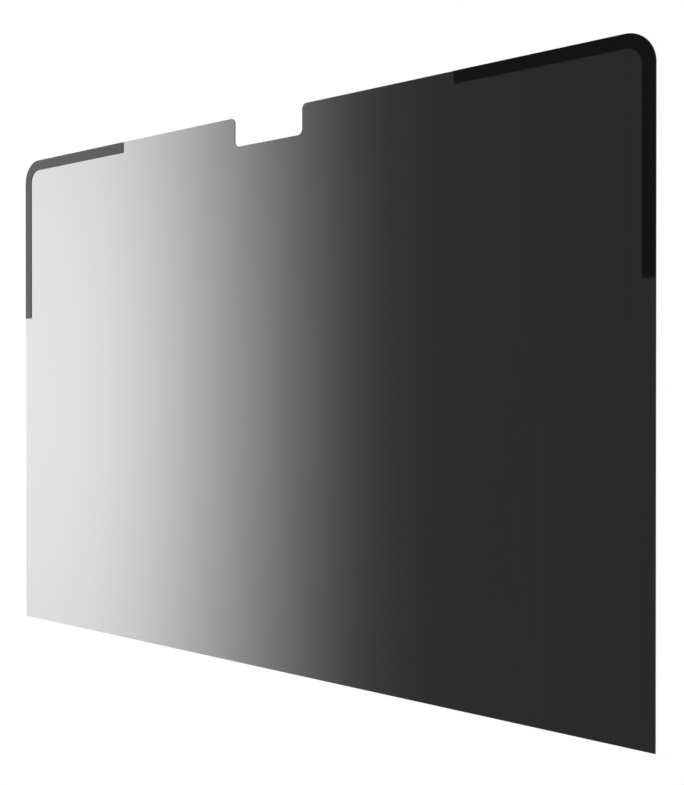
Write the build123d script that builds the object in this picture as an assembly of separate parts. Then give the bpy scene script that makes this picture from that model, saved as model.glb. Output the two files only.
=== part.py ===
from build123d import *
import os

# Laptop privacy filter: a thin louvre-film sheet with rounded top corners and a camera notch
# in its top edge, and an L-shaped flexible magnet bonded on its face at each top corner.
#
# The sheet lies flat on its rear face. As the face is seen, +X runs to the right and +Y to
# the notched top edge, and +Z points out of the face. The origin is the rear face's centre.
# All lengths are in millimetres.

# Filter sheet
SHEET_WIDTH = 299.0
SHEET_HEIGHT = 198.0
SHEET_THICKNESS = 0.4
TOP_CORNER_RADIUS = 9.3

# Camera notch, in the middle of the top edge
NOTCH_WIDTH = 33.7
NOTCH_DEPTH = 10.6
NOTCH_FLOOR_RADIUS = 2.1
NOTCH_MOUTH_RADIUS = 2.0

# Magnet strips, with arms measured from the sheet's corner to the strip's cut ends
STRIP_WIDTH = 4.2
STRIP_THICKNESS = 0.2
STRIP_TOP_ARM = 68.0
STRIP_SIDE_ARM = 68.0

LEFT, RIGHT = -1, 1
PARTS_FOLDER = "parts"


def blank_outline():
    """The sheet before its notch is cut: square at the bottom corners and round at the top."""
    blank = Rectangle(SHEET_WIDTH, SHEET_HEIGHT)
    top_corners = blank.vertices().group_by(Axis.Y)[-1]
    return fillet(top_corners, TOP_CORNER_RADIUS)


def sheet_outline():
    """The blank with the camera notch, its floor corners and the corners of its mouth rounded."""
    top_edge = Pos(0, SHEET_HEIGHT / 2)
    notch = top_edge * Rectangle(NOTCH_WIDTH, NOTCH_DEPTH, align=(Align.CENTER, Align.MAX))
    outline = blank_outline() - notch
    outline = fillet(notch_corners(outline)[0], NOTCH_FLOOR_RADIUS)
    return fillet(notch_corners(outline)[-1], NOTCH_MOUTH_RADIUS)


def notch_corners(outline):
    """The corners of the notch in rows, from its floor up to its mouth."""
    in_notch = [v for v in outline.vertices() if abs(v.X) < NOTCH_WIDTH]
    return ShapeList(in_notch).group_by(Axis.Y)


def filter_sheet():
    """The film, with its rear face on the ground plane."""
    return extrude(sheet_outline(), SHEET_THICKNESS)


def strip_outline(side):
    """An L along one top corner: the blank's border, cut off square at the end of each arm."""
    blank = blank_outline()
    border = blank - offset(blank, -STRIP_WIDTH)
    corner = Pos(side * SHEET_WIDTH / 2, SHEET_HEIGHT / 2)
    inward = Align.MIN if side == LEFT else Align.MAX
    reach = corner * Rectangle(STRIP_TOP_ARM, STRIP_SIDE_ARM, align=(inward, Align.MAX))
    return border & reach


def magnet_strip(side):
    """One magnet, seated on the face of the sheet and flush with its edges."""
    return Pos(0, 0, SHEET_THICKNESS) * extrude(strip_outline(side), STRIP_THICKNESS)


pieces = {
    "filter_sheet": filter_sheet(),
    "left_magnet_strip": magnet_strip(LEFT),
    "right_magnet_strip": magnet_strip(RIGHT),
}

os.makedirs(PARTS_FOLDER, exist_ok=True)
for node, piece in pieces.items():
    export_step(piece, os.path.join(PARTS_FOLDER, node + ".step"))
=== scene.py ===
import math

import bmesh
import bpy
from mathutils import Matrix, Vector


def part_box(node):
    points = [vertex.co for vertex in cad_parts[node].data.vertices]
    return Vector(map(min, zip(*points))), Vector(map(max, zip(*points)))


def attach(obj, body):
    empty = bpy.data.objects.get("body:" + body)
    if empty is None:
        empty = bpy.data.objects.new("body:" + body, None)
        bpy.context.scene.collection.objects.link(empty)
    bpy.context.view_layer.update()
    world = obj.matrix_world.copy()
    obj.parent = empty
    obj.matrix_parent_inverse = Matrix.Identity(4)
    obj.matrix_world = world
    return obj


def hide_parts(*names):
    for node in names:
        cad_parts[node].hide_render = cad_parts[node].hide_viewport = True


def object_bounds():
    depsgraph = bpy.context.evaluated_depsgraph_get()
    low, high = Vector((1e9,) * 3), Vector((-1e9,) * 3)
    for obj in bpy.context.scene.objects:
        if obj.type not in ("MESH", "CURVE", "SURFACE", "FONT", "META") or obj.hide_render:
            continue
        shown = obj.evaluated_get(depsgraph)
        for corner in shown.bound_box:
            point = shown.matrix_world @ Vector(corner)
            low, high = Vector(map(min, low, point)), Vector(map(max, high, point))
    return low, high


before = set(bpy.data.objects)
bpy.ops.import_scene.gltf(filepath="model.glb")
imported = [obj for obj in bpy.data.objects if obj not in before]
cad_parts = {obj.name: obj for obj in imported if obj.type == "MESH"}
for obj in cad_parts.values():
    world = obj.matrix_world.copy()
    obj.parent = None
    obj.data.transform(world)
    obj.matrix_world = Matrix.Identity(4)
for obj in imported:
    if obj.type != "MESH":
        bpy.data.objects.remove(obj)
cad_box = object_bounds()

MM = 0.001
WHITE = 1.0, 1.0, 1.0, 1.0

# Outline of the sheet and its strips, beyond what the frame's own boxes give
TOP_CORNER_RADIUS = 9.3 * MM
NOTCH_WIDTH = 33.7 * MM
NOTCH_DEPTH = 10.6 * MM
NOTCH_FLOOR_RADIUS = 2.1 * MM
NOTCH_MOUTH_RADIUS = 2.0 * MM
STRIP_WIDTH = 4.2 * MM
SQUARE = 0.0

# Cut edges are broken by a hair's breadth, and a quarter turn has this many steps
SHEET_EDGE_ROUND = 0.06 * MM
STRIP_EDGE_ROUND = 0.05 * MM
EDGE_STEPS = 4
ARC_STEPS = 24

# Film: louvres run up the sheet, and drawing the film leaves long faint streaks beside them
LOUVRE_PITCH = 0.1 * MM
LOUVRE_TONES = 0.0111, 0.0149
STREAK_WIDTH = 2.6 * MM
STREAK_LENGTH = 140.0 * MM
STREAK_DETAIL = 2.0
STREAK_SHARES = 0.82, 1.18
MOTTLE_SIZE = 9.0 * MM
MOTTLE_DETAIL = 3.0
FILM_ROUGHNESS = 0.114, 0.126
FILM_IOR = 1.5

# A wave texture goes through this many radians in each unit of its place
WAVE_RADIANS = 20.0

# Strips: the matt grain of a flexible magnet, under a thin satin face
GRAIN_SIZE = 0.45 * MM
GRAIN_DEPTH = 0.004 * MM
GRAIN_DETAIL = 3.0
GRAIN_STRENGTH = 0.3
GRAIN_TONES = 0.0043, 0.0067
MAGNET_ROUGHNESS = 0.8
MAGNET_GLOSS = 0.0
FACE_WEIGHT = 0.172
FACE_ROUGHNESS = 0.12
FACE_IOR = 1.5

# Camera, as the photograph was taken: from the right of the sheet, with the notched edge up
CAMERA_PLACE = Vector((0.3025, 0.0012, 0.3015))
CAMERA_AIM = Vector((0.0353, -0.0007, 0.0004))
CAMERA_UP = Vector((0.0, 1.0, 0.0))
NEAR_CLIP = 10.0 * MM

# Lens and sensor are in millimetres, and the sensor's size spans the picture's longer side
FOCAL_LENGTH = 55.03
SENSOR_SIZE = 36.0

# One wide softbox low on the left, which the left of the film mirrors
SOFTBOX_DISTANCE = 4.0
SOFTBOX_ELEVATION = math.radians(34.5)
SOFTBOX_WIDTH = 8.47
SOFTBOX_HEIGHT = 2.72
SOFTBOX_BRIGHTNESS = 11.8
SOFTBOX_FULL_ABOVE = 0.27
SOFTBOX_LOWER_SHARE = 0.25
SOFTBOX_UPPER_POWER = 1.57

# A white room with one dim patch, high on the left, which the right of the film mirrors
ROOM_WHITE = 1.0
ROOM_DIM_PATCH = 0.25
ROOM_WHITE_BELOW = math.radians(20.0)
ROOM_DIM_ABOVE = math.radians(50.0)
ROOM_DIM_LEFT = -0.4
ROOM_FILL_SHARE = 0.6

# White floor, just under the sheet
FLOOR_SIZE = 4.0
FLOOR_GAP = 0.01 * MM
FLOOR_GLOW_SHARE = 0.95


def quarter_turn(steps):
    """Angles from nought to a right angle, both included."""
    return [math.pi / 2 * step / steps for step in range(steps + 1)]


def rounded_outline(corners, inset):
    """Points round an outline of edges along X and Y, moved inwards by inset, anticlockwise.

    A corner is (x, y, radius). One that points outwards loses the inset from its radius,
    and one that points inwards gains it.
    """
    points = []
    for i, (x, y, radius) in enumerate(corners):
        here = Vector((x, y))
        before = Vector(corners[i - 1][:2])
        after = Vector(corners[(i + 1) % len(corners)][:2])
        way_in = (here - before).normalized()
        way_out = (after - here).normalized()
        turn = way_in.x * way_out.y - way_in.y * way_out.x
        left_of_way_in = Vector((-way_in.y, way_in.x))
        left_of_way_out = Vector((-way_out.y, way_out.x))
        corner = here + inset * (left_of_way_in + left_of_way_out)
        if radius == SQUARE:
            points.append(corner)
            continue
        reach = radius - turn * inset
        centre = corner - way_in * reach + turn * left_of_way_in * reach
        for angle in quarter_turn(ARC_STEPS):
            spoke = -turn * left_of_way_in * math.cos(angle) + way_in * math.sin(angle)
            points.append(centre + spoke * reach)
    return points


def edge_profile(bottom, top, edge_round):
    """(inset, height) up the side of a flat piece, with its lower and upper edges rounded."""
    lower = [
        (edge_round * (1 - math.sin(angle)), bottom + edge_round * (1 - math.cos(angle)))
        for angle in quarter_turn(EDGE_STEPS)
    ]
    upper = [(inset, bottom + top - height) for inset, height in reversed(lower)]
    return lower + upper


def flat_piece(name, corners, bottom, top, edge_round):
    """A closed flat mesh of that outline between two heights."""
    mesh = bmesh.new()
    rings = []
    for inset, height in edge_profile(bottom, top, edge_round):
        outline = rounded_outline(corners, inset)
        rings.append([mesh.verts.new((p.x, p.y, height)) for p in outline])
    for low_ring, high_ring in zip(rings, rings[1:]):
        for i in range(len(low_ring)):
            j = (i + 1) % len(low_ring)
            side = mesh.faces.new((low_ring[i], low_ring[j], high_ring[j], high_ring[i]))
            side.smooth = True
    mesh.faces.new(list(reversed(rings[0])))
    mesh.faces.new(rings[-1])
    data = bpy.data.meshes.new(name)
    mesh.to_mesh(data)
    mesh.free()
    piece = bpy.data.objects.new(name, data)
    bpy.context.scene.collection.objects.link(piece)
    return piece


def sheet_corners(low, high):
    """The film's outline: square below, round above, with the camera notch in its top edge."""
    notch_floor = high.y - NOTCH_DEPTH
    notch_side = NOTCH_WIDTH / 2
    return [
        (low.x, low.y, SQUARE),
        (high.x, low.y, SQUARE),
        (high.x, high.y, TOP_CORNER_RADIUS),
        (notch_side, high.y, NOTCH_MOUTH_RADIUS),
        (notch_side, notch_floor, NOTCH_FLOOR_RADIUS),
        (-notch_side, notch_floor, NOTCH_FLOOR_RADIUS),
        (-notch_side, high.y, NOTCH_MOUTH_RADIUS),
        (low.x, high.y, TOP_CORNER_RADIUS),
    ]


def left_strip_corners(low, high):
    """The L along the top left corner, whose inner bend has the same centre as its outer one."""
    inner_radius = TOP_CORNER_RADIUS - STRIP_WIDTH
    return [
        (low.x, low.y, SQUARE),
        (low.x + STRIP_WIDTH, low.y, SQUARE),
        (low.x + STRIP_WIDTH, high.y - STRIP_WIDTH, inner_radius),
        (high.x, high.y - STRIP_WIDTH, SQUARE),
        (high.x, high.y, SQUARE),
        (low.x, high.y, TOP_CORNER_RADIUS),
    ]


def right_strip_corners(low, high):
    """The left strip's outline, mirrored, in anticlockwise order again."""
    mirrored = left_strip_corners(Vector((-high.x, low.y)), Vector((-low.x, high.y)))
    return [(-x, y, radius) for x, y, radius in reversed(mirrored)]


def dress_node(node, corners, edge_round, material):
    """A piece of the node's own form with its edges broken, in place of the plain solid."""
    low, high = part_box(node)
    piece = flat_piece(node + "_shape", corners(low, high), low.z, high.z, edge_round)
    piece.data.materials.append(material)
    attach(piece, "root")
    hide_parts(node)


def scaled_place(tree, size_x, size_y, size_z):
    """The object's own coordinates, in steps of the given sizes."""
    place = tree.nodes.new("ShaderNodeTexCoord")
    mapping = tree.nodes.new("ShaderNodeMapping")
    mapping.inputs["Scale"].default_value = (1 / size_x, 1 / size_y, 1 / size_z)
    tree.links.new(place.outputs["Object"], mapping.inputs["Vector"])
    return mapping.outputs["Vector"]


def split_place(tree, place):
    """The outputs X, Y and Z of a place."""
    split = tree.nodes.new("ShaderNodeSeparateXYZ")
    tree.links.new(place, split.inputs["Vector"])
    return split.outputs


def noise(tree, place, detail):
    """Soft noise with one step of place to each lump."""
    texture = tree.nodes.new("ShaderNodeTexNoise")
    texture.inputs["Scale"].default_value = 1.0
    texture.inputs["Detail"].default_value = detail
    tree.links.new(place, texture.inputs["Vector"])
    return texture.outputs["Fac"]


def waves(tree, place):
    """Even bands across X, with one wave to each step of place."""
    texture = tree.nodes.new("ShaderNodeTexWave")
    texture.wave_type = "BANDS"
    texture.bands_direction = "X"
    texture.wave_profile = "SIN"
    texture.inputs["Scale"].default_value = math.tau / WAVE_RADIANS
    tree.links.new(place, texture.inputs["Vector"])
    return texture.outputs["Fac"]


def spread(tree, value, low, high, start=0.0, end=1.0, curve="LINEAR"):
    """A value between start and end, moved to lie between low and high."""
    limits = tree.nodes.new("ShaderNodeMapRange")
    limits.interpolation_type = curve
    limits.inputs["From Min"].default_value = start
    limits.inputs["From Max"].default_value = end
    limits.inputs["To Min"].default_value = low
    limits.inputs["To Max"].default_value = high
    tree.links.new(value, limits.inputs["Value"])
    return limits.outputs["Result"]


def smooth_step(tree, value, low, high, start, end):
    """A value spread in the same way, with a smooth beginning and end."""
    return spread(tree, value, low, high, start, end, "SMOOTHSTEP")


def calculate(tree, operation, *values):
    """The result of a Math node that takes numbers or the outputs of other nodes."""
    node = tree.nodes.new("ShaderNodeMath")
    node.operation = operation
    for socket, value in zip(node.inputs, values):
        if isinstance(value, float):
            socket.default_value = value
        else:
            tree.links.new(value, socket)
    return node.outputs["Value"]


def seen_directly(tree):
    """One for what the camera, a gloss or a clear surface shows, and nought for diffuse light."""
    path = tree.nodes.new("ShaderNodeLightPath")
    seen = path.outputs["Is Camera Ray"]
    for ray in ("Is Glossy Ray", "Is Transmission Ray"):
        seen = calculate(tree, "MAXIMUM", seen, path.outputs[ray])
    return seen


def piece_material(name):
    """A material with its node tree and its Principled shader."""
    material = bpy.data.materials.new(name)
    material.use_nodes = True
    tree = material.node_tree
    return material, tree, tree.nodes["Principled BSDF"]


def film_material():
    """Dark satin film: fine louvre lines, faint streaks beside them and a slightly uneven gloss."""
    material, tree, shader = piece_material("privacy_film")
    louvre_place = scaled_place(tree, LOUVRE_PITCH, LOUVRE_PITCH, LOUVRE_PITCH)
    louvres = spread(tree, waves(tree, louvre_place), *LOUVRE_TONES)
    streak_place = scaled_place(tree, STREAK_WIDTH, STREAK_LENGTH, STREAK_LENGTH)
    streaks = spread(tree, noise(tree, streak_place, STREAK_DETAIL), *STREAK_SHARES)
    tree.links.new(calculate(tree, "MULTIPLY", louvres, streaks), shader.inputs["Base Color"])
    mottle_place = scaled_place(tree, MOTTLE_SIZE, MOTTLE_SIZE, MOTTLE_SIZE)
    mottle = spread(tree, noise(tree, mottle_place, MOTTLE_DETAIL), *FILM_ROUGHNESS)
    tree.links.new(mottle, shader.inputs["Roughness"])
    shader.inputs["IOR"].default_value = FILM_IOR
    return material


def magnet_material():
    """Black flexible magnet: a fine matt grain that shows through a thin satin face."""
    material, tree, shader = piece_material("magnet_strip")
    grain = noise(tree, scaled_place(tree, GRAIN_SIZE, GRAIN_SIZE, GRAIN_SIZE), GRAIN_DETAIL)
    tree.links.new(spread(tree, grain, *GRAIN_TONES), shader.inputs["Base Color"])
    bump = tree.nodes.new("ShaderNodeBump")
    bump.inputs["Strength"].default_value = GRAIN_STRENGTH
    bump.inputs["Distance"].default_value = GRAIN_DEPTH
    tree.links.new(grain, bump.inputs["Height"])
    tree.links.new(bump.outputs["Normal"], shader.inputs["Normal"])
    tree.links.new(bump.outputs["Normal"], shader.inputs["Coat Normal"])
    shader.inputs["Roughness"].default_value = MAGNET_ROUGHNESS
    shader.inputs["Specular IOR Level"].default_value = MAGNET_GLOSS
    shader.inputs["Coat Weight"].default_value = FACE_WEIGHT
    shader.inputs["Coat Roughness"].default_value = FACE_ROUGHNESS
    shader.inputs["Coat IOR"].default_value = FACE_IOR
    return material


def stage_material(name):
    """A material with its node tree and the socket that takes its surface's shader."""
    material = bpy.data.materials.new(name)
    material.use_nodes = True
    tree = material.node_tree
    tree.nodes.clear()
    output = tree.nodes.new("ShaderNodeOutputMaterial")
    return material, tree, output.inputs["Surface"]


def stage_panel(name, width, height, material):
    """A flat panel of the stage, about its own centre."""
    x, y = width / 2, height / 2
    data = bpy.data.meshes.new(name)
    data.from_pydata([(-x, -y, 0), (x, -y, 0), (x, y, 0), (-x, y, 0)], [], [(0, 1, 2, 3)])
    data.materials.append(material)
    panel = bpy.data.objects.new(name, data)
    bpy.context.scene.collection.objects.link(panel)
    return panel


def floor_material():
    """White floor that takes shadows, lifted to white where it is seen."""
    material, tree, surface = stage_material("white_floor")
    matt = tree.nodes.new("ShaderNodeBsdfDiffuse")
    matt.inputs["Color"].default_value = WHITE
    glow = tree.nodes.new("ShaderNodeEmission")
    mix = tree.nodes.new("ShaderNodeMixShader")
    tree.links.new(spread(tree, seen_directly(tree), 0.0, FLOOR_GLOW_SHARE), mix.inputs["Fac"])
    tree.links.new(matt.outputs["BSDF"], mix.inputs[1])
    tree.links.new(glow.outputs["Emission"], mix.inputs[2])
    tree.links.new(mix.outputs["Shader"], surface)
    return material


def add_floor():
    """The floor, just under the sheet."""
    floor = stage_panel("floor", FLOOR_SIZE, FLOOR_SIZE, floor_material())
    floor.location.z = cad_box[0].z - FLOOR_GAP


def softbox_material():
    """Light that falls to a low share at the lower edge, and to none at the other edges.

    Places on the panel go from nought at its middle to one at its edges, and the room shows
    through it.
    """
    material, tree, surface = stage_material("softbox_light")
    place = split_place(tree, scaled_place(tree, SOFTBOX_WIDTH / 2, SOFTBOX_HEIGHT / 2, 1.0))
    up = place["Y"]
    upper = smooth_step(tree, up, 0.0, 1.0, start=1.0, end=0.0)
    upper = calculate(tree, "POWER", upper, SOFTBOX_UPPER_POWER)
    lower = smooth_step(tree, up, SOFTBOX_LOWER_SHARE, 1.0, start=-1.0, end=SOFTBOX_FULL_ABOVE)
    across = calculate(tree, "ABSOLUTE", place["X"])
    sides = smooth_step(tree, across, 0.0, SOFTBOX_BRIGHTNESS, start=1.0, end=0.0)
    brightness = calculate(tree, "MULTIPLY", calculate(tree, "MULTIPLY", upper, lower), sides)
    glow = tree.nodes.new("ShaderNodeEmission")
    tree.links.new(brightness, glow.inputs["Strength"])
    room_behind = tree.nodes.new("ShaderNodeBsdfTransparent")
    both = tree.nodes.new("ShaderNodeAddShader")
    tree.links.new(glow.outputs["Emission"], both.inputs[0])
    tree.links.new(room_behind.outputs["BSDF"], both.inputs[1])
    tree.links.new(both.outputs["Shader"], surface)
    return material


def facing(place, aim, up):
    """The matrix of a camera or a panel at a place, pointed at its aim."""
    back = (place - aim).normalized()
    right = up.cross(back).normalized()
    upright = back.cross(right)
    turn = Matrix((right, upright, back)).transposed().to_4x4()
    return Matrix.Translation(place) @ turn


def add_softbox():
    """The softbox, hidden from the camera but not from the film's gloss."""
    softbox = stage_panel("softbox", SOFTBOX_WIDTH, SOFTBOX_HEIGHT, softbox_material())
    direction = Vector((-math.cos(SOFTBOX_ELEVATION), 0.0, math.sin(SOFTBOX_ELEVATION)))
    softbox.matrix_world = facing(direction * SOFTBOX_DISTANCE, aim=Vector(), up=Vector((0, 0, 1)))
    softbox.visible_camera = False


def add_room():
    """The room, which fills the shadows less than it shows in the gloss.

    A direction has a length of one. Its Z is the sine of its angle above the horizon, and its X
    is negative on the left.
    """
    world = bpy.data.worlds.new("room")
    world.use_nodes = True
    tree = world.node_tree
    coordinates = tree.nodes.new("ShaderNodeTexCoord")
    direction = split_place(tree, coordinates.outputs["Generated"])
    low, high = math.sin(ROOM_WHITE_BELOW), math.sin(ROOM_DIM_ABOVE)
    overhead = smooth_step(tree, direction["Z"], 0.0, 1.0, start=low, end=high)
    leftward = smooth_step(tree, direction["X"], 0.0, 1.0, start=0.0, end=ROOM_DIM_LEFT)
    in_patch = calculate(tree, "MULTIPLY", overhead, leftward)
    brightness = spread(tree, in_patch, ROOM_WHITE, ROOM_DIM_PATCH)
    share = spread(tree, seen_directly(tree), ROOM_FILL_SHARE, 1.0)
    background = tree.nodes["Background"]
    background.inputs["Color"].default_value = WHITE
    tree.links.new(calculate(tree, "MULTIPLY", brightness, share), background.inputs["Strength"])
    bpy.context.scene.world = world


def add_camera():
    """The camera at the photograph's place."""
    data = bpy.data.cameras.new("camera")
    data.lens = FOCAL_LENGTH
    data.sensor_width = SENSOR_SIZE
    data.clip_start = NEAR_CLIP
    camera = bpy.data.objects.new("camera", data)
    camera.matrix_world = facing(CAMERA_PLACE, CAMERA_AIM, CAMERA_UP)
    bpy.context.scene.collection.objects.link(camera)
    bpy.context.scene.camera = camera


film = film_material()
magnet = magnet_material()
dress_node("filter_sheet", sheet_corners, SHEET_EDGE_ROUND, film)
dress_node("left_magnet_strip", left_strip_corners, STRIP_EDGE_ROUND, magnet)
dress_node("right_magnet_strip", right_strip_corners, STRIP_EDGE_ROUND, magnet)
add_floor()
add_softbox()
add_room()
add_camera()
bpy.context.scene.view_settings.view_transform = "Standard"
